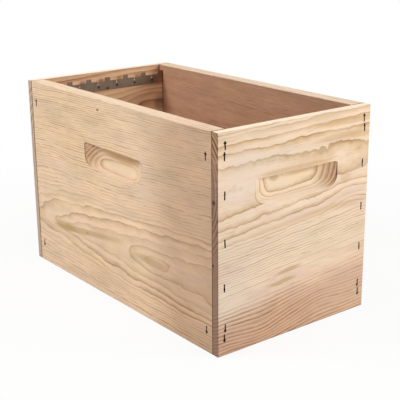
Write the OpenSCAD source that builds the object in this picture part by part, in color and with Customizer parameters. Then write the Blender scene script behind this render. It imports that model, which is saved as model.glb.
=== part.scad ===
// Six-frame nucleus hive body: four rabbeted pine boards, stapled at the corners,
// with a castellated metal strip along each end for the frame lugs.
// Millimetres, +Z up, origin in the middle of the underside, frames lie along Y.

/* [Box] */
// Outside length, along the frames
box_len = 505; // [420:1:600]
// Outside height
box_h = 315; // [230:1:400]
// Number of frames that hang side by side
frame_count = 6; // [4:1:10]
// Distance between the middles of neighbouring frames
frame_pitch = 37.75; // [34:0.25:42]
// Spare room between the frame spaces and each side board
wall_gap = 5.25; // [2:0.25:15]

/* [Boards] */
// Thickness of the side boards
side_thick = 24; // [18:0.5:32]
// Thickness of the end boards
end_thick = 22; // [19:0.5:32]
// Thickness of the end boards' lip, which covers the ends of the side boards
lip = 12; // [8:0.5:15]
// Bevel on the boards' sawn edges
arris = 0.8; // [0.3:0.1:2]
// Depth of the frame rest below the rim
rest_drop = 21; // [16:0.5:30]

/* [Handholds] */
// Width of a handhold
grip_w = 156; // [130:1:180]
// Height of a handhold
grip_h = 40; // [32:1:60]
// Distance from the rim down to a handhold's top edge
grip_drop = 73; // [55:1:120]
// Depth of the scoop's floor
grip_depth = 14; // [8:0.5:15]
// Radius of the disc cutter that scoops a handhold
cutter_r = 80; // [60:1:110]
// Radius of the cutter's lower edge
cutter_nose = 18; // [16.5:0.5:24]
// Radius of the cutter's upper edge
cutter_heel = 4; // [1:0.5:5]

/* [Frame spacers] */
// Thickness of the metal strip
spacer_thick = 1; // [0.6:0.1:2]
// Height of the tabs' tops above the frame rest
spacer_rise = 12; // [9:0.5:15]
// Height of the strip below the frame rest
spacer_foot = 10; // [8:0.5:16]
// Gap between the strip and each side board
spacer_end_gap = 0.5; // [0.2:0.1:1.5]
// Width of a tab at its top
tab_w = 9.4; // [6:0.2:12]
// How much wider each side of a tab is at its foot
tab_flare = 0.6; // [0:0.1:2]
// Height of a tab above the shoulders that carry the lugs
tab_h = 6; // [3:0.5:8]
// Width of the slit in the middle of each notch
slit_w = 2.4; // [1.4:0.1:4]
// Depth of the slit below the shoulders
slit_h = 6; // [3:0.5:8]

/* [Nails] */
// Shank diameter of the spacer nails
nail_d = 2; // [1.4:0.1:2.5]
// Head diameter of the spacer nails
nail_head_d = 4.4; // [3.5:0.1:5]
// Head thickness of the spacer nails
nail_head_h = 0.9; // [0.5:0.1:1.5]
// Length of the nails under the head
nail_len = 16; // [10:1:18]
// Distance of the notch nails below the frame rest
nail_below = 3.5; // [3:0.25:5]
// Distance of the middle nail above the strip's lower edge
nail_above_foot = 3; // [2.8:0.1:5]

/* [Staples] */
// Width of a staple's crown
crown_w = 12; // [9:0.5:16]
// Width of the staple wire, across the crown's bend
wire_w = 1.6; // [1.2:0.1:1.9]
// Thickness of the flat staple wire
wire_t = 1.4; // [1:0.1:1.8]
// Length of a staple's legs
leg_len = 38; // [28:1:45]
// Depth of the crown below the face
crown_sink = 2.4; // [1:0.1:3.5]
// Distance from the bottom edge to the lowest end staple
low_staple_z = 26; // [18:1:40]
// Clear wood between the two staples of a pair
pair_space = 2.5; // [0.5:0.25:4]
// Wood between the frame rest and the upper side staples
rest_cover = 8; // [4:0.5:20]
// How much higher the upper end pair starts than the upper side staples
stagger = 2.5; // [2.2:0.1:3.5]
// Distance from the end of the box to the side staples
side_staple_in = 25; // [20:0.5:30]
// Sideways wander of the hand-driven end staples
wander = 0.8; // [0:0.1:1.5]
// Lean of the hand-driven staples, in degrees
lean = 3; // [0:0.5:6]
// Width of the slot that the driver leaves around a crown
slot_w = 2.3; // [2:0.1:3.2]
// Width of the driver's bruise across a staple slot
bruise_w = 5.6; // [4:0.1:7]
// Height of the driver's bruise
bruise_h = 4.6; // [3:0.1:6]
// How far the bruise lies from the crown's middle, at the top and bottom of the box
bruise_shift = 3.5; // [0:0.25:4]
// Clearance round driven nails and staples
drive_fit = 0.05; // [0.02:0.01:0.15]

/* [Hidden] */
$fn = 48;
over = 1;
inner_w = frame_count * frame_pitch + 2 * wall_gap;
box_w = inner_w + 2 * side_thick;
end_y = -box_len / 2;
side_x = -box_w / 2;
rest_z = box_h - rest_drop;

// Places of the staples, up each corner of an end board and of a side board
pair_gap = crown_w + pair_space;
side_staple_z = [low_staple_z + pair_gap / 2, rest_z - crown_w / 2 - rest_cover];
low_pair_top = low_staple_z + pair_gap;
high_pair_low = side_staple_z[1] + stagger;
row_shares = [0.245, 0.507, 0.782];
row_staple_z = [for (share = row_shares) low_pair_top + share * (high_pair_low - low_pair_top)];
end_staple_z = concat(
    [low_staple_z, low_pair_top],
    row_staple_z,
    [high_pair_low, high_pair_low + pair_gap]
);
// Side staples slant so that their legs enter the end board in the middle of its cheek
cheek_mid = (lip + end_thick) / 2;
side_slant = atan2(side_staple_in - cheek_mid, side_thick);

// A scoop ends on the cutter's own arc, and its floor runs out to the face on the nose
grip_chord = sqrt(cutter_r * cutter_r - pow(cutter_r - grip_depth, 2));
grip_travel = grip_w - 2 * grip_chord;
grip_rim = grip_h - sqrt(cutter_nose * cutter_nose - pow(cutter_nose - grip_depth, 2));

// Strip of the frame spacers
shoulder_h = spacer_rise - tab_h;
spacer_len = inner_w - 2 * spacer_end_gap;
notch_x = [for (i = [0 : frame_count - 1]) (i - (frame_count - 1) / 2) * frame_pitch];
tab_x = [for (i = [0 : frame_count]) (i - frame_count / 2) * frame_pitch];
spacer_nails = concat(
    [for (x = notch_x) [x, -nail_below]],
    [[0, nail_above_foot - spacer_foot]]
);

// Rectangle with bevelled corners, around the origin
module eased_rect(a, b) {
    x = a / 2;
    y = b / 2;
    polygon([
        [arris - x, -y], [x - arris, -y], [x, arris - y], [x, y - arris],
        [x - arris, y], [arris - x, y], [-x, y - arris], [-x, arris - y]
    ]);
}

// Sawn board with all its edges bevelled, around the origin
module eased_board(x, y, z) {
    intersection() {
        linear_extrude(height = z, center = true) eased_rect(x, y);
        rotate([90, 0, 0]) linear_extrude(height = y, center = true) eased_rect(x, z);
        rotate([90, 0, 90]) linear_extrude(height = x, center = true) eased_rect(y, z);
    }
}

// Half section of the disc cutter: X from its axis, top face at Y = 0, both rim edges rounded
module cutter_section() {
    belly = cutter_r - cutter_nose;
    shelf = cutter_r - cutter_heel;
    translate([0, -grip_rim]) square([cutter_r, grip_rim - cutter_heel]);
    translate([0, -cutter_heel]) square([shelf, cutter_heel]);
    translate([shelf, -cutter_heel]) intersection() {
        circle(cutter_heel);
        square(cutter_heel);
    }
    translate([0, -grip_rim - cutter_nose]) square([belly, cutter_nose]);
    translate([belly, -grip_rim]) intersection() {
        circle(cutter_nose);
        translate([0, -cutter_nose]) square(cutter_nose);
    }
}

// Handhold cut into a face at y = 0, wood on the +Y side, top edge at z = 0:
// the cutter is sunk in at one end, moved along and drawn out at the other
module handhold() {
    translate([0, grip_depth - cutter_r, 0]) {
        for (s = [-1, 1]) translate([s * grip_travel / 2, 0, 0]) rotate_extrude() cutter_section();
        translate([-grip_travel / 2, 0, 0]) rotate([90, 0, 90])
            linear_extrude(height = grip_travel) cutter_section();
    }
}

// Staple outline in its own plane: crown along X, legs along +Y, chisel points
module staple_outline(top, grow) {
    c = crown_w / 2 + grow;
    inner = crown_w / 2 - wire_w - grow;
    seat = crown_sink + wire_w + grow;
    tip = crown_sink + leg_len + grow;
    heel = tip - 2 * wire_w;
    polygon([
        [-c, top], [c, top], [c, tip], [inner, heel],
        [inner, seat], [-inner, seat], [-inner, heel], [-c, tip]
    ]);
}

// Driven staple in a face at y = 0, wood on the +Y side, crown upright
module staple() {
    rotate([0, -90, 0])
        linear_extrude(height = wire_t, center = true) staple_outline(crown_sink, 0);
}

// Slot of a driven staple: close on the legs, wider round the crown, with the driver's bruise across it
module staple_slot() {
    rotate([0, -90, 0]) {
        linear_extrude(height = wire_t + 2 * drive_fit, center = true)
            staple_outline(-over, drive_fit);
        linear_extrude(height = slot_w, center = true)
            translate([-crown_w / 2, -over]) square([crown_w, over + crown_sink + wire_w]);
        translate([$bruise[0], crown_sink, 0]) rotate([90, $bruise[2], 0])
            linear_extrude(height = crown_sink + over) bruise_outline($bruise[1]);
    }
}

// Bruise around the origin, at a share of its full size: X along the crown
module bruise_outline(share) {
    tip = share * bruise_h / 2;
    edge = share * bruise_w / 2;
    polygon([
        [-tip, 0], [-tip / 4, -edge], [tip / 2, -edge * 0.8],
        [tip, 0], [tip / 3, edge], [-tip / 2, edge * 0.7]
    ]);
}

// Place of the bruise on the crown of a staple: high on the upper staples, low on the lower ones
function bruise_at(z) = bruise_shift * (2 * z / box_h - 1);

// Staples of one column in the front face: side -1 is the left column, 1 the right one.
// $bruise gives each slot the bruise's place, its share of the full size and its turn.
module end_column(side) {
    for (i = [0 : len(end_staple_z) - 1]) {
        z = end_staple_z[i];
        drift = wander * sin(150 * i + 60 * side);
        tilt = lean * sin(110 * i + 40 * side);
        $bruise = [bruise_at(z), 0.75 - 0.05 * side + 0.2 * cos(60 * i), 180 * (i % 2)];
        translate([side * (box_w - side_thick) / 2 + drift, end_y, z])
            rotate([0, tilt, 0]) children();
    }
}

// Staples of one front corner in a side face: side -1 is the left board, 1 the right one
module side_column(side) {
    for (z = side_staple_z) {
        $bruise = [bruise_at(z), 1, 0];
        translate([side * box_w / 2, end_y + side_staple_in, z])
            rotate([0, 0, side * (90 + side_slant)]) children();
    }
}

// Frame spacer seen from inside the box: X along the strip, Y up from the frame rest
module spacer_outline() {
    shoulder = spacer_foot + shoulder_h;
    difference() {
        intersection() {
            translate([-spacer_len / 2, -spacer_foot]) square([spacer_len, spacer_foot + spacer_rise]);
            union() {
                translate([-box_w / 2, -spacer_foot]) square([box_w, shoulder]);
                for (x = tab_x) translate([x, shoulder_h]) tab_outline();
            }
        }
        for (x = notch_x) {
            translate([x - slit_w / 2, shoulder_h - slit_h]) square([slit_w, slit_h + over]);
            translate([x, shoulder_h - slit_h]) circle(d = slit_w);
        }
        for (p = spacer_nails) translate(p) circle(d = nail_d + 2 * drive_fit);
    }
}

module tab_outline() {
    top = tab_w / 2;
    foot = top + tab_flare;
    polygon([[-foot, -over], [foot, -over], [foot, 0], [top, tab_h], [-top, tab_h], [-foot, 0]]);
}

// Nail driven along -Y into a face at y = 0, head lying on the face
module nail() {
    rotate([-90, 0, 0]) rotate_extrude() polygon([
        [0, -nail_len], [nail_d / 2, nail_d - nail_len], [nail_d / 2, 0], [nail_head_d / 2, 0],
        [nail_head_d / 2, nail_head_h / 2], [(nail_head_d - nail_head_h) / 2, nail_head_h],
        [0, nail_head_h]
    ]);
}

module nail_hole() {
    rotate([90, 0, 0]) cylinder(d = nail_d + 2 * drive_fit, h = nail_len + drive_fit);
}

module at_spacer_nails(y) {
    for (p = spacer_nails) translate([p[0], y, rest_z + p[1]]) children();
}

module end_board() {
    inner_y = end_y + end_thick;
    difference() {
        translate([0, end_y + end_thick / 2, box_h / 2]) eased_board(box_w, end_thick, box_h);
        for (s = [-1, 1])
            translate([s * (box_w - side_thick + over) / 2, end_y + lip + box_len / 2, box_h / 2])
                cube([side_thick + over, box_len, box_h + 2 * over], center = true);
        translate([-box_w, end_y + lip, rest_z]) cube([2 * box_w, box_len, rest_drop + over]);
        translate([0, end_y, box_h - grip_drop]) handhold();
        for (s = [-1, 1]) {
            end_column(s) staple_slot();
            side_column(s) staple_slot();
        }
        at_spacer_nails(inner_y + spacer_thick) nail_hole();
    }
}

module side_board() {
    difference() {
        translate([side_x + side_thick / 2, 0, box_h / 2])
            eased_board(side_thick, box_len - 2 * lip, box_h);
        translate([side_x, 0, box_h - grip_drop]) rotate([0, 0, -90]) handhold();
        end_column(-1) staple_slot();
        side_column(-1) staple_slot();
        rotate([0, 0, 180]) {
            end_column(1) staple_slot();
            side_column(1) staple_slot();
        }
    }
}

module frame_spacer() {
    translate([0, end_y + end_thick + spacer_thick, rest_z]) rotate([90, 0, 0])
        linear_extrude(height = spacer_thick) spacer_outline();
}

module spacer_nail_set() {
    at_spacer_nails(end_y + end_thick + spacer_thick) nail();
}

module front_end_board() {
    color("burlywood") end_board();
}

module rear_end_board() {
    color("burlywood") rotate([0, 0, 180]) end_board();
}

module left_side_board() {
    color("tan") side_board();
}

module right_side_board() {
    color("tan") rotate([0, 0, 180]) side_board();
}

module front_frame_spacer() {
    color("dimgray") frame_spacer();
}

module rear_frame_spacer() {
    color("dimgray") rotate([0, 0, 180]) frame_spacer();
}

module front_spacer_nails() {
    color("gray") spacer_nail_set();
}

module rear_spacer_nails() {
    color("gray") rotate([0, 0, 180]) spacer_nail_set();
}

module front_left_end_staples() {
    color("silver") end_column(-1) staple();
}

module front_right_end_staples() {
    color("silver") end_column(1) staple();
}

module rear_left_end_staples() {
    color("silver") rotate([0, 0, 180]) end_column(1) staple();
}

module rear_right_end_staples() {
    color("silver") rotate([0, 0, 180]) end_column(-1) staple();
}

module front_left_side_staples() {
    color("silver") side_column(-1) staple();
}

module front_right_side_staples() {
    color("silver") side_column(1) staple();
}

module rear_left_side_staples() {
    color("silver") rotate([0, 0, 180]) side_column(1) staple();
}

module rear_right_side_staples() {
    color("silver") rotate([0, 0, 180]) side_column(-1) staple();
}

front_end_board();
rear_end_board();
left_side_board();
right_side_board();
front_frame_spacer();
rear_frame_spacer();
front_spacer_nails();
rear_spacer_nails();
front_left_end_staples();
front_right_end_staples();
rear_left_end_staples();
rear_right_end_staples();
front_left_side_staples();
front_right_side_staples();
rear_left_side_staples();
rear_right_side_staples();
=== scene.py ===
"""Looks of the nuc box: bare pine boards, a steel frame spacer at each end, nails and staples."""

import math

import bpy
from mathutils import Matrix, Vector


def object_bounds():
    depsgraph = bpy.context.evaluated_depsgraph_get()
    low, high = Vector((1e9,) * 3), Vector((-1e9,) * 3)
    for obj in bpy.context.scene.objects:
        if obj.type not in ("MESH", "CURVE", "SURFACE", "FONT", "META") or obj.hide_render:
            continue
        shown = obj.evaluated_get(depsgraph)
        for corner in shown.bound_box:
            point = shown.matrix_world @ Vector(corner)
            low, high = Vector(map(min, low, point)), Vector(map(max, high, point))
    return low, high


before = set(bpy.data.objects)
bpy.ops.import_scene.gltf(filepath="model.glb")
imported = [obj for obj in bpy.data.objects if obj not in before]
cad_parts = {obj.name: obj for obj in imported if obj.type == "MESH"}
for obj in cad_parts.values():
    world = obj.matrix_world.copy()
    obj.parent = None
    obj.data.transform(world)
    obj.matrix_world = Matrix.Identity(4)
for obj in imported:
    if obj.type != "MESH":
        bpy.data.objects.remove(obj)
loaded_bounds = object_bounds()

# Half of the box's width on X, half of its length on Y and its height on Z, in metres, as all lengths here.
HALF_W, HALF_L, BOX_H = loaded_bounds[1]

# Thickness of an end board's lip, which covers a side board's end.
LIP = 0.012

# Distances short of an edge at which the dark line of a joint starts and is full: at a lip's back edge, at
# the lip's end, and on the rim at a side board's end.
LIP_LINE = (0.0014, 0.0006)
LIP_END = (0.0035, 0.0015)
RIM_LINE = (0.0030, 0.0018)

# Cosines at which a surface starts to count as facing a way and fully does: strictly, less strictly, and for
# a cut across the grain.
FACES = (0.6, 0.9)
PARTLY_FACES = (0.3, 0.7)
CROSS_CUT = (0.05, 0.50)

# A handhold's surface lies deeper than the board's face, doesn't face into the box, and is near the board's
# middle and below the frame rest. Each pair is where that test turns over.
SCOOP_DEPTH = (0.0006, 0.0012)
SCOOP_FACING = (0.3, 0.6)
SCOOP_REACH = (0.095, 0.115)
SCOOP_TOP = (0.275, 0.290)

# Depths at which a handhold's fresh floor and its bolder rings start and are full, and the stretch along it
# over which its end walls come to show all their end grain.
FRESH_DEPTH = (0.001, 0.006)
BOLD_DEPTH = (0.003, 0.010)
WALL_DIP = (-0.04, 0.04)

# Heights over which end grain comes to its top tone and to its full bands, and the stretch along a board over
# which heartwood weakens.
END_GRAIN_TOP = (0.22, 0.30)
END_GRAIN_BANDS = (0.10, 0.22)
HEART_FADE = (-0.14, 0.14)

# Distances from a frame spacer's middle at which its rust starts and is full.
RUST_REACH = (0.100, 0.116)

# How close another surface has to be for painted shade to darken the wood beside it.
SHADE_REACH = 0.004

# Height of the fine relief on wood, on sheet steel and on wire.
WOOD_RELIEF = 0.0002
SHEET_RELIEF = 0.0002
WIRE_RELIEF = 0.0001

# The photograph's view: angles in degrees about the point that the camera is aimed at.
VIEW_TURN = -37.75
VIEW_RISE = 17.43
VIEW_ROLL = -0.51
VIEW_DISTANCE = 1.276
VIEW_AIM = (-0.1211, -0.1877, 0.2066)
VIEW_FAR = 50
LENS_MM = 84.05
SENSOR_MM = 36

# The white floor's width, the share of its shadow that is seen, and how far from the middle that fades out.
FLOOR_SIZE = 12.0
KEPT_SHADOW = 0.10
SHADOW_REACH = (0.35, 1.0)

# Strength of the light from all round, and each lamp's place, aim, width and watts.
ROOM_LIGHT = 0.32
LAMP_TINT = (1.0, 0.98, 0.95)
LAMPS = {
    "far_left_lamp": ((-1.1, 0.5, 1.3), (-0.14, 0.0, 0.2), 0.6, 13.6),
    "end_lamp": ((1.15, -1.65, 1.0), (0.0, -0.25, 0.2), 1.0, 24.6),
    "top_lamp": ((-0.1, -0.3, 2.0), (0.0, 0.0, 0.3), 1.0, 8.0),
}


def srgb(red, green, blue):
    """A colour seen on a screen, 0 to 255, as the linear value a shader takes."""
    def linear(level):
        share = level / 255
        return share / 12.92 if share <= 0.04045 else ((share + 0.055) / 1.055) ** 2.4
    return (linear(red), linear(green), linear(blue), 1.0)


WHITE = (1.0, 1.0, 1.0, 1.0)
FLOOR_GREY = (0.85, 0.85, 0.85, 1.0)

# Bare pine in even light: spring wood, summer wood and the dark line that ends a year.
END_PINE = (srgb(242, 217, 189), srgb(207, 167, 113), srgb(140, 96, 56))
REAR_PINE = (srgb(246, 218, 188), srgb(188, 136, 100), srgb(146, 100, 74))
SIDE_PINE = (srgb(239, 210, 179), srgb(200, 161, 116), srgb(150, 106, 68))

# End grain: low down, at the top, and its rings.
FRONT_END_GRAIN = (srgb(160, 126, 106), srgb(186, 146, 114), srgb(74, 47, 36))
REAR_END_GRAIN = (srgb(198, 176, 152), srgb(198, 176, 152), srgb(150, 120, 100))
SIDE_END_GRAIN = (srgb(180, 146, 122), srgb(180, 146, 122), srgb(112, 80, 66))

# End grain in a handhold's walls, and its rings.
WALL = srgb(226, 187, 148)
WALL_RINGS = srgb(126, 80, 54)

# Tones that lie over the pine: in spring wood, in stains and some painted shade, on a sawn top edge with
# painted light, in a fresh cut, and in dirty joints and painted shade in gaps.
PINK = srgb(229, 201, 181)
OLIVE = srgb(184, 152, 100)
GOLD = srgb(205, 164, 112)
PALE = srgb(239, 219, 203)
FLECK_AND_SHADE = srgb(74, 50, 34)
SAWN_AND_LIT_TOP = srgb(250, 230, 207)
FRESH = srgb(249, 227, 193)
GRIME_AND_SHADE = srgb(56, 29, 8)

# Tones that the pine is multiplied by: heartwood, its summer wood, faces inside the box (a browner pith side
# and painted shade) and wood browned and darkened by painted shade.
HEART = srgb(225, 206, 198)
HEART_LATE = srgb(218, 198, 188)
INSIDE_END_AND_SHADE = srgb(212, 153, 109)
INSIDE_REAR_AND_SHADE = srgb(226, 194, 156)
INSIDE_SIDE_AND_SHADE = srgb(168, 96, 48)
BROWN_AND_SHADE = srgb(227, 219, 214)

# Factors on red, green and blue: where the wood has weathered cooler or greyer, and painted light and painted
# shade that make it paler or darker.
COOL = (0.93, 0.99, 1.08, 1.0)
PAINTED_LIGHT_FACTOR = (1.06, 1.06, 1.06, 1.0)
PAINTED_SHADE_FACTOR = (0.96, 0.95, 0.89, 1.0)
GREYED = (0.88, 0.90, 0.94, 1.0)

# Steel: two tones each for the frame spacers, darkened and browned as painted shade and a painted reflection
# of the wood, the nails and the staples, and the spacers' rust.
SPACER_SHADED_TONES = (srgb(103, 89, 76), srgb(136, 122, 107))
NAIL_TONES = (srgb(58, 50, 44), srgb(120, 112, 104))
STAPLE_TONES = (srgb(50, 27, 8), srgb(92, 60, 28))
RUST = srgb(172, 128, 96)

# Noise features in a metre along the grain, into the board and up: the grain's straying from long to short
# stretches, fibres, resin dashes, slow changes of tone, patches and blush.
LONG_STRAY = (5.0, 6.0, 8.0)
MIDDLE_STRAY = (20.0, 18.0, 34.0)
SHORT_STRAY = (85.0, 60.0, 60.0)
FIBRES = (10.0, 480.0, 480.0)
DASHES = (50.0, 650.0, 650.0)
DRIFT = (7.0, 6.0, 16.0)
PATCHES = (15.0, 40.0, 70.0)
BLUSH = (9.0, 9.0, 26.0)

# Features in a metre along the grain, in a year's ring and in a metre up: how rings fade and break up.
FADES = (9.0, 2.3, 12.0)
STROKES = (34.0, 4.7, 90.0)

# Features in a metre of X, Y and Z on steel: spangle, smudges, scuffs and speckles.
SPANGLES = 260.0
SMUDGES = (40, 40, 70)
SCUFFS = (90, 90, 900)
SPECKLES = (700, 700, 700)

# How far the grain strays over a middling stretch.
MIDDLE_SWAY = 0.0032

# Width of a year's ring after the tree's growth slowed and after it picked up again, and the growth over
# which rings come to look narrow.
OLD_RING = 0.0029
LATE_RING = 0.0048
SLOWING = 0.02

# Runs of good and bad years: noise features to the year, and how many years they shift a ring.
RUN_FEATURES = 0.31
RUN_SHIFT = 0.35

# Shares of the year: the earliest start of summer wood, how much later it may start, when it is full, when
# the dark line comes and when the next spring takes over.
SUMMER_FIRST = 0.10
SUMMER_DELAY = 0.35
SUMMER_FULL = 0.86
YEAR_LINE = (0.76, 0.94)
YEAR_END = (0.95, 1.0)

# A radius that no board reaches, for a tree whose growth never picked up again.
NEVER = 1.0

# What the two end boards and the two side boards have in common, and then how each board was sawn from its
# log and has aged. Along is the grain's own axis, and depth runs from the outer face into the board.
# tones, end_grain, inside: the pine's colours, as named above.
# seed: where the board's own noise starts. Most noises add a number to it, so that they differ.
# pith, slope: depth and height of the log's centre line at mid length, and what they gain in a metre along.
# sway, ragged: how far the grain strays over a long and over a short stretch.
# ring, ended: width of a year's ring in the young tree, and a radius at which a year ends.
# slowed, revived: radii at which the growth slowed and picked up again.
# old_strength: how bold the narrow rings are beside the wide ones.
# strokes, patchy, rosy: how far narrow rings break into strokes, and how strong patches and pink are.
# sawn: how far faces that point up take a pale sawn tone, partly painted light from above.
# scoop_years, scoop_rings, scoop_bold: in the handhold, the share of the rings that stays, the rings added
# for each metre of depth, and the boldness gained.
# heart: height of the heartwood's edge, what it gains in a metre along, and its softness.
# browned_and_shaded: where along the board the wood starts to brown and darken, partly painted shade, and is
# full.
# bold: along, height, reach along, reach up, change in the rings' boldness.
# swells: along, height, reach along, reach up, push in depth, push in height.
# weathered_and_painted_light: along, height, reach along, reach up, share, factor; weathering tints, painted
# light and painted shade.
# stains_and_painted_shade: along, depth, height, reach along, reach across, rise in a metre along, share,
# tone.
END_BOARD = {
    "patchy": 0.25, "rosy": 0.75, "sawn": 0.85,
    "scoop_years": 1.0, "scoop_rings": 140.0, "scoop_bold": 0.10,
}
SIDE_BOARD = {
    "tones": SIDE_PINE, "end_grain": SIDE_END_GRAIN, "inside": INSIDE_SIDE_AND_SHADE,
    "sway": 0.007, "ragged": 0.0007, "ring": 0.0047, "ended": 0.0, "revived": NEVER,
    "strokes": 0.70, "patchy": 0.50, "rosy": 0.45, "sawn": 0.2,
    "scoop_years": 0.5, "scoop_rings": 130.0, "scoop_bold": 0.20,
}
CUTS = {
    "front_end_board": {
        **END_BOARD,
        "tones": END_PINE, "end_grain": FRONT_END_GRAIN, "inside": INSIDE_END_AND_SHADE,
        "seed": 3.1, "pith": (0.100, 0.240), "slope": (0.020, 0.060), "sway": 0.0028, "ragged": 0.0013,
        "ring": 0.0062, "ended": 0.1041, "slowed": 0.1235, "revived": 0.190,
        "old_strength": 1.35, "strokes": 0.45, "heart": (0.068, 0.150, 0.026),
        "bold": [
            (0.0, 0.08, 1.0, 0.14, -0.4),
            (-0.08, 0.025, 0.12, 0.045, 0.3),
            (0.08, 0.06, 0.08, 0.06, -0.45),
            (0.04, 0.255, 0.06, 0.015, -0.35),
            (0.128, 0.232, 0.025, 0.030, -0.25),
            (0.12, 0.286, 0.05, 0.022, 0.6),
        ],
        "swells": [
            (0.105, 0.190, 0.035, 0.022, 0.0, -0.012),
            (-0.065, 0.020, 0.045, 0.030, 0.0, 0.009),
            (0.050, 0.035, 0.040, 0.028, 0.0, -0.007),
        ],
        # Cooler weathering in patches, and a band of painted light.
        "weathered_and_painted_light": [
            (-0.125, 0.075, 0.055, 0.085, 1.0, COOL),
            (-0.050, 0.268, 0.060, 0.010, 0.8, COOL),
            (-0.010, 0.219, 0.085, 0.020, 0.8, COOL),
            (0.020, 0.140, 0.130, 0.055, 0.5, COOL),
            (-0.010, 0.199, 0.070, 0.010, 1.0, PAINTED_LIGHT_FACTOR),
        ],
        "stains_and_painted_shade": [
            (0.010, 0.0, 0.170, 0.100, 0.0050, 0.078, 0.30, GOLD),
            (0.085, 0.0, 0.277, 0.055, 0.0050, 0.03, 0.50, GOLD),
            (-0.010, 0.0, 0.246, 0.075, 0.0040, 0.0, 0.45, GOLD),
            (-0.142, 0.008, 0.220, 0.006, 0.0036, 0.0, 0.95, FLECK_AND_SHADE),
            (-0.142, 0.010, 0.132, 0.005, 0.0024, 0.0, 0.95, FLECK_AND_SHADE),
            (-0.014, 0.0, 0.098, 0.026, 0.0036, 0.08, 0.60, OLIVE),
            (-0.026, 0.0, 0.083, 0.026, 0.0034, 0.08, 0.60, OLIVE),
            (0.095, 0.0, 0.2978, 0.060, 0.0055, 0.0, 0.55, GOLD),
            (0.120, 0.0, 0.2745, 0.034, 0.0062, 0.0, 0.55, GOLD),
            (0.095, 0.0, 0.215, 0.012, 0.0090, 0.0, 0.35, GOLD),
            (0.090, 0.0, 0.173, 0.040, 0.0060, 0.0, 0.30, GOLD),
            (-0.032, 0.013, 0.2335, 0.010, 0.0060, 0.0, 0.55, OLIVE),
            (0.016, 0.013, 0.2375, 0.032, 0.0060, 0.0, 0.50, GOLD),
            (-0.100, 0.0, 0.240, 0.034, 0.0300, 0.0, 0.60, PALE),
            (-0.100, 0.0, 0.277, 0.032, 0.0080, 0.0, 0.50, PALE),
        ],
    },
    "rear_end_board": {
        **END_BOARD,
        "tones": REAR_PINE, "end_grain": REAR_END_GRAIN, "inside": INSIDE_REAR_AND_SHADE,
        "seed": 8.4, "pith": (0.080, 0.205), "slope": (-0.05, 0.02), "sway": 0.008, "ragged": 0.0010,
        "ring": 0.0090, "ended": 0.1, "slowed": 0.130, "revived": NEVER,
        "old_strength": 0.8, "strokes": 0.3, "heart": (0.06, -0.05, 0.03),
        "bold": [(0.05, 0.265, 0.08, 0.018, 0.35)],
        "swells": [(0.085, 0.260, 0.050, 0.018, 0.0, -0.012)],
        "weathered_and_painted_light": [],
        # A dark patch low in the corner beside the right side board: painted shade.
        "stains_and_painted_shade": [(0.112, 0.022, 0.248, 0.014, 0.0140, 0.0, 0.45, FLECK_AND_SHADE)],
    },
    "left_side_board": {
        **SIDE_BOARD,
        "seed": 14.7, "pith": (0.118, 0.098), "slope": (0.030, -0.02), "slowed": 0.126,
        "old_strength": 1.1, "heart": (-0.1, 0.0, 0.03), "browned_and_shaded": (-0.06, -0.17),
        "bold": [
            (-0.17, 0.24, 0.11, 0.08, -0.4),
            (-0.17, 0.05, 0.12, 0.05, 0.6),
        ],
        "swells": [
            (-0.10, 0.095, 0.055, 0.020, 0.008, 0.0),
            (0.11, 0.088, 0.075, 0.012, 0.006, 0.0),
        ],
        # Painted light across the middle and near end, painted shade at the far top, and a greyer rim.
        "weathered_and_painted_light": [
            (0.0, 0.140, 0.250, 0.030, 1.0, PAINTED_LIGHT_FACTOR),
            (0.130, 0.240, 0.120, 0.070, 1.0, PAINTED_SHADE_FACTOR),
            (-0.130, 0.016, 0.060, 0.022, 1.0, PAINTED_LIGHT_FACTOR),
            (-0.190, 0.110, 0.060, 0.050, 0.8, PAINTED_LIGHT_FACTOR),
            (0.100, BOX_H, 0.160, 0.004, 0.8, GREYED),
        ],
        "stains_and_painted_shade": [
            (0.0346, 0.0, 0.2989, 0.003, 0.0013, 0.0, 0.9, FLECK_AND_SHADE),
            (-0.074, 0.0, 0.236, 0.006, 0.0035, 0.0, 0.25, FLECK_AND_SHADE),
            (0.150, 0.0, 0.083, 0.034, 0.0085, -0.10, 0.60, OLIVE),
            (0.085, 0.0, 0.090, 0.100, 0.0056, -0.13, 0.60, OLIVE),
            (-0.095, 0.0, 0.094, 0.038, 0.0066, 0.0, 0.50, OLIVE),
            # Tan along the upper part of the handhold: partly the wood's tone, partly painted shade under its
            # top edge.
            (-0.010, 0.012, 0.2330, 0.060, 0.0125, 0.0, 0.65, GOLD),
        ],
    },
    "right_side_board": {
        **SIDE_BOARD,
        "seed": 21.9, "pith": (0.110, 0.070), "slope": (-0.025, 0.015), "slowed": 0.120,
        "old_strength": 0.95, "heart": (0.05, 0.02, 0.04),
        "bold": [],
        "swells": [],
        "weathered_and_painted_light": [(0.0, BOX_H, 1.0, 0.004, 1.0, GREYED)],
        "stains_and_painted_shade": [],
    },
}


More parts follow.
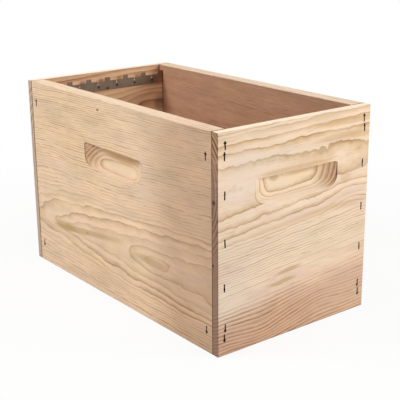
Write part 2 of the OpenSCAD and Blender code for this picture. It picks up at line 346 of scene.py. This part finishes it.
class Nodes:
    """Builds one material's shader nodes. A value is a number, a colour or another node's output."""

    def __init__(self, name):
        self.material = bpy.data.materials.new(name)
        self.material.use_nodes = True
        self.tree = self.material.node_tree
        self.tree.nodes.clear()

    def feed(self, socket, value):
        if isinstance(value, bpy.types.NodeSocket):
            self.tree.links.new(value, socket)
        else:
            socket.default_value = value

    def new(self, kind, inputs=None, **settings):
        node = self.tree.nodes.new(kind)
        for key, value in settings.items():
            setattr(node, key, value)
        for key, value in (inputs or {}).items():
            self.feed(node.inputs[key], value)
        return node

    def math(self, operation, *values):
        node = self.new("ShaderNodeMath", dict(enumerate(values)), operation=operation)
        return node.outputs[0]

    def add(self, *values):
        total = values[0]
        for value in values[1:]:
            total = self.math("ADD", total, value)
        return total

    def times(self, *values):
        total = values[0]
        for value in values[1:]:
            total = self.math("MULTIPLY", total, value)
        return total

    def minus(self, a, b):
        return self.math("SUBTRACT", a, b)

    def object_place(self):
        return self.new("ShaderNodeTexCoord").outputs["Object"]

    def split(self, vector):
        return self.new("ShaderNodeSeparateXYZ", {0: vector}).outputs

    def vector(self, x, y, z):
        return self.new("ShaderNodeCombineXYZ", {"X": x, "Y": y, "Z": z}).outputs[0]

    def stretched(self, axes, counts):
        """A vector in which each axis has so many noise features to its unit."""
        return self.vector(*[self.times(axis, count) for axis, count in zip(axes, counts)])

    def scaled(self, vector, counts):
        """The same for axes that come as one vector."""
        return self.new("ShaderNodeVectorMath", {0: vector, 1: counts}, operation="MULTIPLY").outputs[0]

    def noise(self, vector, detail=2.0, roughness=0.5, seed=0.0):
        """Noise from 0 to 1 with one feature for each unit of the vector."""
        inputs = {"Vector": vector, "W": seed, "Scale": 1.0, "Detail": detail, "Roughness": roughness}
        return self.new("ShaderNodeTexNoise", inputs, noise_dimensions="4D").outputs[0]

    def sway(self, vector, reach, detail=1.0, seed=0.0):
        """Noise that swings evenly about 0, about as far as reach."""
        return self.times(self.minus(self.noise(vector, detail, 0.5, seed), 0.5), 2 * reach)

    def span(self, value, low, high, start=0.0, end=1.0):
        """A soft step from start to end as the value goes from low to high."""
        inputs = {0: value, 1: low, 2: high, 3: start, 4: end}
        node = self.new("ShaderNodeMapRange", inputs, interpolation_type="SMOOTHSTEP")
        return node.outputs[0]

    def near(self, value, edge, fade):
        """0 up to fade's first distance short of the edge, 1 from its second on."""
        return self.span(value, edge - fade[0], edge - fade[1])

    def hump(self, *offsets):
        """A soft hump, 1 in the middle and fading as the offsets, in reaches, grow."""
        away = self.add(*[self.times(offset, offset) for offset in offsets])
        return self.math("EXPONENT", self.times(away, -1.0))

    def mix(self, share, a, b, blend="MIX"):
        inputs = {0: share, 6: a, 7: b}
        node = self.new("ShaderNodeMix", inputs, data_type="RGBA", blend_type=blend)
        return node.outputs[2]

    def tint(self, share, colour, factor):
        """The colour, multiplied by the factor for a share."""
        return self.mix(share, colour, self.mix(1.0, colour, factor, "MULTIPLY"))

    def shade(self, colour, amount):
        """The colour made lighter or darker by a factor."""
        factor = self.vector(amount, amount, amount)
        return self.mix(1.0, colour, factor, "MULTIPLY")

    def bump(self, height, distance, strength=1.0):
        inputs = {"Height": height, "Distance": distance, "Strength": strength}
        return self.new("ShaderNodeBump", inputs).outputs[0]

    def show(self, shader):
        output = self.new("ShaderNodeOutputMaterial")
        self.tree.links.new(shader.outputs[0], output.inputs["Surface"])
        return self.material

    def finish(self, **inputs):
        return self.show(self.new("ShaderNodeBsdfPrincipled", inputs))


class Place:
    """A point of a board: how far along the grain, into the board and up, and which way its surface faces."""

    def __init__(self, n, node_name):
        self.n = n
        self.end_board = node_name.endswith("end_board")
        place = n.split(n.object_place())
        normal = n.split(n.new("ShaderNodeNewGeometry").outputs["True Normal"])
        grain, inward = (0, 1) if self.end_board else (1, 0)
        half = HALF_L if self.end_board else HALF_W
        # The front and left boards have their outer face on the low side of the axis.
        sign = 1.0 if node_name.startswith(("front", "left")) else -1.0
        self.along = place[grain]
        self.depth = n.add(n.times(place[inward], sign), half)
        self.height = place[2]
        self.from_middle = n.math("ABSOLUTE", self.along)
        self.facing_end = n.math("ABSOLUTE", normal[grain])
        self.facing_in = n.times(normal[inward], sign)
        self.facing_up = normal[2]
        self.scooped = self.in_handhold()

    def in_handhold(self):
        n = self.n
        return n.times(
            n.span(self.depth, *SCOOP_DEPTH),
            n.span(self.facing_in, *SCOOP_FACING, 1.0, 0.0),
            n.span(self.from_middle, *SCOOP_REACH, 1.0, 0.0),
            n.span(self.height, *SCOOP_TOP, 1.0, 0.0),
        )

    def features(self, counts):
        """The place as a vector with so many noise features to the metre."""
        return self.n.stretched((self.along, self.depth, self.height), counts)

    def patch(self, along, height, reach_along, reach_height):
        """A hump that goes right through the board."""
        n = self.n
        return n.hump(
            n.times(n.minus(self.along, along), 1 / reach_along),
            n.times(n.minus(self.height, height), 1 / reach_height),
        )

    def streak(self, along, depth, height, reach_along, reach_across, tilt):
        """A long hump that leans by tilt and stays near one depth."""
        n = self.n
        aside = n.minus(self.along, along)
        above = n.minus(n.minus(self.height, height), n.times(aside, tilt))
        return n.hump(
            n.times(aside, 1 / reach_along),
            n.times(n.minus(self.depth, depth), 1 / reach_across),
            n.times(above, 1 / reach_across),
        )


def grain_stray(n, cut, at):
    """How far the grain strays in depth and in height, its swells included."""
    seed = cut["seed"]
    long_stray = at.features(LONG_STRAY)
    wander = n.add(
        n.sway(long_stray, cut["sway"], 2.0, seed),
        n.sway(at.features(MIDDLE_STRAY), MIDDLE_SWAY, 2.0, seed + 1.3),
        n.sway(at.features(SHORT_STRAY), cut["ragged"], 3.0, seed + 2.9),
    )
    rise = n.sway(long_stray, cut["sway"], 1.0, seed + 5.1)
    for *middle_and_reach, push_depth, push_height in cut["swells"]:
        bulge = at.patch(*middle_and_reach)
        wander = n.add(wander, n.times(bulge, push_depth))
        rise = n.add(rise, n.times(bulge, push_height))
    return wander, rise


def growth_rings(n, cut, at):
    """Rings about the log's centre line: share of the year grown, year, the grain's wander, slow growth."""
    wander, rise = grain_stray(n, cut, at)
    pith_depth = n.add(n.times(at.along, cut["slope"][0]), cut["pith"][0])
    pith_height = n.add(n.times(at.along, cut["slope"][1]), cut["pith"][1])
    off_depth = n.add(n.minus(at.depth, pith_depth), wander)
    off_height = n.add(n.minus(at.height, pith_height), rise)
    radius = n.math("SQRT", n.add(n.times(off_depth, off_depth), n.times(off_height, off_height)))
    slower = n.math("MAXIMUM", n.minus(radius, cut["slowed"]), 0.0)
    faster = n.math("MAXIMUM", n.minus(radius, cut["revived"]), 0.0)
    phase = n.add(
        n.times(n.minus(radius, cut["ended"]), 1 / cut["ring"]),
        n.times(slower, 1 / OLD_RING - 1 / cut["ring"]),
        n.times(faster, 1 / LATE_RING - 1 / OLD_RING),
    )
    phase = n.times(phase, n.minus(1.0, n.times(at.scooped, 1.0 - cut["scoop_years"])))
    phase = n.minus(phase, n.times(at.scooped, at.depth, cut["scoop_rings"]))
    runs = n.vector(n.times(phase, RUN_FEATURES), 0.0, 0.0)
    phase = n.add(phase, n.sway(runs, RUN_SHIFT, 1.0, cut["seed"] + 7.7))
    return n.math("FRACT", phase), n.math("FLOOR", phase), wander, n.span(slower, 0.0, SLOWING)


def ring_strength(n, cut, at, year, luck, tight):
    """How bold a ring is: it varies from year to year, fades along the board and breaks into strokes."""
    seed = cut["seed"]
    on_ring = (at.along, year, at.height)
    fading = n.noise(n.stretched(on_ring, FADES), 2.0, 0.5, seed)
    stroke = n.noise(n.stretched(on_ring, STROKES), 2.0, 0.6, seed + 9.5)
    strength = n.times(n.span(luck, 0.1, 0.95, 0.40, 1.0), n.span(fading, 0.30, 0.64, 0.42, 1.0))
    narrow = n.add(n.times(tight, 0.8), 0.2)
    broken = n.times(n.span(stroke, 0.35, 0.60, 1.0, 0.0), narrow, cut["strokes"])
    older = n.add(n.times(tight, cut["old_strength"] - 1), 1.0)
    strength = n.times(strength, n.minus(1.0, broken), older)
    for *middle_and_reach, change in cut["bold"]:
        strength = n.times(strength, n.add(n.times(at.patch(*middle_and_reach), change), 1.0))
    return n.add(strength, n.times(at.scooped, n.span(at.depth, *BOLD_DEPTH, 0.0, cut["scoop_bold"])))


def ring_bands(n, cut, at, turn, year, tight):
    """Shares of summer wood and of the dark line that ends a year."""
    white_noise = n.new("ShaderNodeTexWhiteNoise", {"W": n.add(year, cut["seed"])}, noise_dimensions="1D")
    luck = white_noise.outputs[0]
    strength = ring_strength(n, cut, at, year, luck, tight)
    ended = n.span(turn, *YEAR_END, 1.0, 0.0)
    summer_starts = n.add(n.times(luck, SUMMER_DELAY), SUMMER_FIRST)
    late = n.times(n.span(turn, summer_starts, SUMMER_FULL), ended, strength)
    line = n.times(n.span(turn, *YEAR_LINE), ended, strength)
    return late, line


def ring_colour(n, cut, late, line, blush):
    """The pine's own colour: spring wood, rosy or olive in places, summer wood and ring lines."""
    spring, summer, ring_line = cut["tones"]
    spring = n.mix(n.span(blush, 0.28, 0.56, cut["rosy"], 0.0), spring, PINK)
    colour = n.mix(n.times(late, 0.95), spring, summer)
    colour = n.mix(n.times(line, 0.60), colour, ring_line)
    return n.mix(n.span(blush, 0.52, 0.75, 0.0, 0.45), colour, n.mix(0.45, spring, OLIVE))


def heartwood(n, cut, at, colour, wander, late):
    """Darker, redder wood below an edge that follows the grain, weaker towards one end."""
    edge_height, edge_slope, softness = cut["heart"]
    edge = n.add(n.times(at.along, edge_slope), edge_height, n.times(wander, 1.5))
    heart = n.span(n.minus(edge, at.height), -softness, softness)
    heart = n.times(heart, n.span(at.along, *HEART_FADE, 1.0, 0.7))
    colour = n.tint(heart, colour, HEART)
    return n.tint(n.times(heart, late), colour, HEART_LATE)


def weathering_and_painted_light(n, cut, at, colour):
    """The wood browner and darker at one end, partly painted shade, less so on the rim; then patches of
    weathered tint, painted light and painted shade.
    """
    if "browned_and_shaded" in cut:
        # Painted shade in part: the near end of the board is browner and darker, less so on the rim.
        start, full = cut["browned_and_shaded"]
        off_rim = n.span(at.facing_up, *PARTLY_FACES, 1.0, 0.5)
        browned_and_shaded = n.times(n.span(at.along, full, start, 1.0, 0.0), off_rim)
        colour = n.tint(browned_and_shaded, colour, BROWN_AND_SHADE)
    # Patches: cooler or greyer weathering, and painted light and painted shade that make the wood paler or
    # darker.
    for *middle_and_reach, share, factor in cut["weathered_and_painted_light"]:
        colour = n.tint(n.times(at.patch(*middle_and_reach), share), colour, factor)
    return colour


def cut_faces(n, cut, at, colour, late):
    """Darker faces inside the box, browner wood and painted shade, a pale top edge with a sawn tone and
    painted light, and fresh wood on a handhold's floor.
    """
    # Faces inside the box darken: partly a browner pith side, partly painted shade.
    inner = n.mix(0.75, colour, cut["inside"], "MULTIPLY")
    colour = n.mix(n.span(at.facing_in, *FACES, 0.0, 0.7), colour, inner)
    # Faces that point up are paler: a sawn tone and painted light from above.
    colour = n.mix(n.span(at.facing_up, *FACES, 0.0, cut["sawn"]), colour, SAWN_AND_LIT_TOP)
    facing_out = n.span(at.facing_in, -FACES[1], -FACES[0], 1.0, 0.0)
    floor = n.times(at.scooped, n.span(at.depth, *FRESH_DEPTH), facing_out)
    return n.mix(n.times(floor, n.minus(1.0, late), 0.5), colour, FRESH)


def end_grain(n, cut, at, colour, late, fibre):
    """Darker end grain on the boards' ends and on the walls of a handhold."""
    low, top, rings = cut["end_grain"]
    early = n.mix(n.span(at.height, *END_GRAIN_TOP), low, top)
    banding = n.times(n.math("POWER", late, 0.6), n.span(at.height, *END_GRAIN_BANDS, 0.5, 1.0))
    grain = n.mix(banding, n.mix(at.scooped, early, WALL), n.mix(at.scooped, rings, WALL_RINGS))
    grain = n.shade(grain, n.add(0.85, n.times(fibre, 0.3)))
    # The grain dips a little, so the wall at one end of a handhold shows less end grain than the other.
    with_grain = n.times(at.scooped, n.span(at.along, *WALL_DIP, 0.75, 0.0))
    return n.mix(n.times(n.span(at.facing_end, *CROSS_CUT), n.minus(1.0, with_grain)), colour, grain)


def stains_and_painted_shade(n, cut, at, colour, fibre, patch):
    """Streaks and flecks with edges that the fibres make ragged: stains, and some painted shade."""
    for *middle_and_reach, share, tone in cut["stains_and_painted_shade"]:
        ragged = n.add(
            at.streak(*middle_and_reach),
            n.times(n.minus(fibre, 0.5), 0.9),
            n.times(n.minus(patch, 0.5), 0.9),
        )
        colour = n.mix(n.span(ragged, 0.15, 0.75, 0.0, share), colour, tone)
    return colour


def dirty_joints_and_painted_shade(n, at, colour):
    """A dark line where a side board meets an end board's lip, and painted shade where surfaces are close."""
    if at.end_board:
        line = n.times(n.near(at.from_middle, HALF_W, LIP_END), n.near(at.depth, LIP, LIP_LINE), 0.65)
    else:
        on_rim = n.span(at.facing_up, *PARTLY_FACES, 0.0, 0.95)
        line = n.times(n.near(at.from_middle, HALF_L - LIP, RIM_LINE), on_rim)
    colour = n.mix(line, colour, GRIME_AND_SHADE)
    # Painted shade: the wood darkens towards dark brown where other surfaces are close, in gaps, slots and
    # corners.
    crevice_shade = n.new("ShaderNodeAmbientOcclusion", {"Distance": SHADE_REACH}, samples=8).outputs["AO"]
    return n.mix(n.span(crevice_shade, 0.35, 0.80, 0.95, 0.0), colour, GRIME_AND_SHADE)


def pine(node_name, cut):
    """Solid pine: growth rings, fibres along the grain, resin dashes, stains and darker end grain, with
    painted light and shade.
    """
    n = Nodes(node_name + "_pine")
    seed = cut["seed"]
    at = Place(n, node_name)
    turn, year, wander, tight = growth_rings(n, cut, at)
    late, line = ring_bands(n, cut, at, turn, year, tight)

    fibre = n.noise(at.features(FIBRES), 4.0, 0.65, seed)
    dash = n.span(n.noise(at.features(DASHES), 1.0, 0.5, seed + 3.3), 0.60, 0.74)
    drift = n.noise(at.features(DRIFT), 3.0, 0.55, seed + 4.4)
    patch = n.noise(at.features(PATCHES), 3.0, 0.55, seed + 8.8)
    blush = n.noise(at.features(BLUSH), 2.0, 0.5, seed + 6.2)
    mottle = n.add(
        n.times(n.minus(drift, 0.5), 0.30),
        n.times(n.minus(fibre, 0.5), 0.24),
        n.times(n.minus(patch, 0.5), cut["patchy"]),
    )

    colour = ring_colour(n, cut, late, line, blush)
    colour = heartwood(n, cut, at, colour, wander, late)
    colour = weathering_and_painted_light(n, cut, at, colour)
    colour = n.shade(colour, n.add(n.minus(1.0, n.times(dash, 0.18)), mottle))
    colour = cut_faces(n, cut, at, colour, late)
    colour = end_grain(n, cut, at, colour, late, fibre)
    colour = stains_and_painted_shade(n, cut, at, colour, fibre, patch)
    colour = dirty_joints_and_painted_shade(n, at, colour)

    relief = n.add(n.times(fibre, 0.7), n.times(late, 0.3), n.times(dash, -0.6))
    return n.finish(**{
        "Base Color": colour,
        "Roughness": n.add(0.58, n.times(fibre, 0.18), n.times(late, -0.08)),
        "Specular IOR Level": 0.2,
        "Normal": n.bump(relief, WOOD_RELIEF, 0.6),
    })


def galvanised():
    """Dull zinc-coated sheet, its tones darkened and browned as painted shade and a painted reflection of the
    wood: faint spangle, smudges, small scuffs and rust at its ends.
    """
    n = Nodes("spacer_steel")
    place = n.object_place()
    spangle = n.new("ShaderNodeTexVoronoi", {"Vector": place, "Scale": SPANGLES}).outputs["Color"]
    spangle = n.new("ShaderNodeSeparateColor", {0: spangle}).outputs[0]
    smudge = n.noise(n.scaled(place, SMUDGES), 4.0)
    scuff = n.noise(n.scaled(place, SCUFFS), 2.0)
    # Painted shade and a painted reflection of the wood: the zinc is given dark, brownish tones.
    colour = n.mix(smudge, *SPACER_SHADED_TONES)
    colour = n.shade(colour, n.add(0.86, n.times(spangle, 0.18)))
    from_middle = n.math("ABSOLUTE", n.split(place)[0])
    rusted = n.times(n.span(from_middle, *RUST_REACH), n.span(smudge, 0.3, 0.55, 0.35, 0.9))
    return n.finish(**{
        "Base Color": n.mix(rusted, colour, RUST),
        "Metallic": 0.9,
        "Roughness": n.add(0.34, n.times(smudge, 0.22), n.times(scuff, 0.1)),
        "Normal": n.bump(n.add(smudge, n.times(scuff, 0.5)), SHEET_RELIEF, 0.4),
    })


def driven_steel(name, tones, metallic):
    """Small fasteners: tarnished wire with brighter rubbed spots."""
    n = Nodes(name)
    speckle = n.noise(n.scaled(n.object_place(), SPECKLES), 3.0)
    return n.finish(**{
        "Base Color": n.mix(n.span(speckle, 0.45, 0.75), *tones),
        "Metallic": metallic,
        "Roughness": n.add(0.45, n.times(speckle, 0.3)),
        "Specular IOR Level": 0.05,
        "Normal": n.bump(speckle, WIRE_RELIEF, 0.4),
    })


def dress(node_name, material):
    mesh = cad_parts[node_name].data
    mesh.materials.clear()
    mesh.materials.append(material)


def dress_box():
    """Pine on the four boards, and steel on what else there is, told by the endings of the names."""
    for board, cut in CUTS.items():
        dress(board, pine(board, cut))
    steel = {
        "frame_spacer": galvanised(),
        "nails": driven_steel("nail_steel", NAIL_TONES, 0.5),
        "staples": driven_steel("staple_steel", STAPLE_TONES, 0.2),
    }
    for node_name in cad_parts:
        for ending, material in steel.items():
            if node_name.endswith(ending):
                dress(node_name, material)


def seen_directly(tree):
    """1 for rays from the camera or sent on by a glossy or clear surface, 0 for rays that light things."""
    ray = tree.nodes.new("ShaderNodeLightPath").outputs
    seen = ray["Is Camera Ray"]
    for kind in ("Is Glossy Ray", "Is Transmission Ray"):
        either = tree.nodes.new("ShaderNodeMath")
        either.operation = "MAXIMUM"
        tree.links.new(seen, either.inputs[0])
        tree.links.new(ray[kind], either.inputs[1])
        seen = either.outputs[0]
    return seen


def floor_white():
    """Pale grey that the camera sees as white, apart from a share of the shadow near the box."""
    n = Nodes("floor_white")
    lit = n.new("ShaderNodeBsdfDiffuse", {"Color": FLOOR_GREY})
    glow = n.new("ShaderNodeEmission", {"Color": WHITE, "Strength": 1.0})
    from_middle = n.new("ShaderNodeVectorMath", {0: n.object_place()}, operation="LENGTH").outputs["Value"]
    kept = n.span(from_middle, *SHADOW_REACH, KEPT_SHADOW, 0.0)
    white = n.times(seen_directly(n.tree), n.minus(1.0, kept))
    return n.show(n.new("ShaderNodeMixShader", {0: white, 1: lit.outputs[0], 2: glow.outputs[0]}))


def white_floor():
    mesh = bpy.data.meshes.new("floor")
    edge = FLOOR_SIZE / 2
    corners = [(-edge, -edge, 0), (edge, -edge, 0), (edge, edge, 0), (-edge, edge, 0)]
    mesh.from_pydata(corners, [], [(0, 1, 2, 3)])
    mesh.materials.append(floor_white())
    floor = bpy.data.objects.new("floor", mesh)
    bpy.context.scene.collection.objects.link(floor)


def soft_lamp(name, place, aim, size, watts):
    lamp = bpy.data.lights.new(name, "AREA")
    lamp.shape = "DISK"
    lamp.size = size
    lamp.energy = watts
    lamp.color = LAMP_TINT
    holder = bpy.data.objects.new(name, lamp)
    holder.location = place
    holder.rotation_euler = (Vector(aim) - Vector(place)).to_track_quat("-Z", "Y").to_euler()
    bpy.context.scene.collection.objects.link(holder)


def white_background(tree, strength):
    light = tree.nodes.new("ShaderNodeBackground")
    light.inputs["Color"].default_value = WHITE
    light.inputs["Strength"].default_value = strength
    return light.outputs[0]


def white_world():
    """A room that looks white and lights the box less than it looks."""
    world = bpy.data.worlds.new("white_room")
    world.use_nodes = True
    tree = world.node_tree
    tree.nodes.clear()
    both = tree.nodes.new("ShaderNodeMixShader")
    tree.links.new(seen_directly(tree), both.inputs[0])
    tree.links.new(white_background(tree, ROOM_LIGHT), both.inputs[1])
    tree.links.new(white_background(tree, 1.0), both.inputs[2])
    output = tree.nodes.new("ShaderNodeOutputWorld")
    tree.links.new(both.outputs[0], output.inputs["Surface"])
    bpy.context.scene.world = world


def photo_camera():
    """The photograph's camera, turned and raised about the point that it is aimed at."""
    turn, rise, roll = (math.radians(angle) for angle in (VIEW_TURN, VIEW_RISE, VIEW_ROLL))
    back = Vector((math.sin(turn) * math.cos(rise), -math.cos(turn) * math.cos(rise), math.sin(rise)))
    camera = bpy.data.cameras.new("photo_view")
    camera.lens = LENS_MM
    camera.sensor_width = SENSOR_MM
    camera.clip_end = VIEW_FAR
    holder = bpy.data.objects.new("photo_view", camera)
    level = back.to_track_quat("Z", "Y").to_matrix()
    turned = (level @ Matrix.Rotation(roll, 3, "Z")).to_4x4()
    holder.matrix_world = Matrix.Translation(Vector(VIEW_AIM) + back * VIEW_DISTANCE) @ turned
    bpy.context.scene.collection.objects.link(holder)
    bpy.context.scene.camera = holder


dress_box()
white_floor()
white_world()
for lamp_name, (lamp_place, lamp_aim, lamp_size, lamp_watts) in LAMPS.items():
    soft_lamp(lamp_name, lamp_place, lamp_aim, lamp_size, lamp_watts)
photo_camera()
bpy.context.scene.view_settings.view_transform = "Standard"
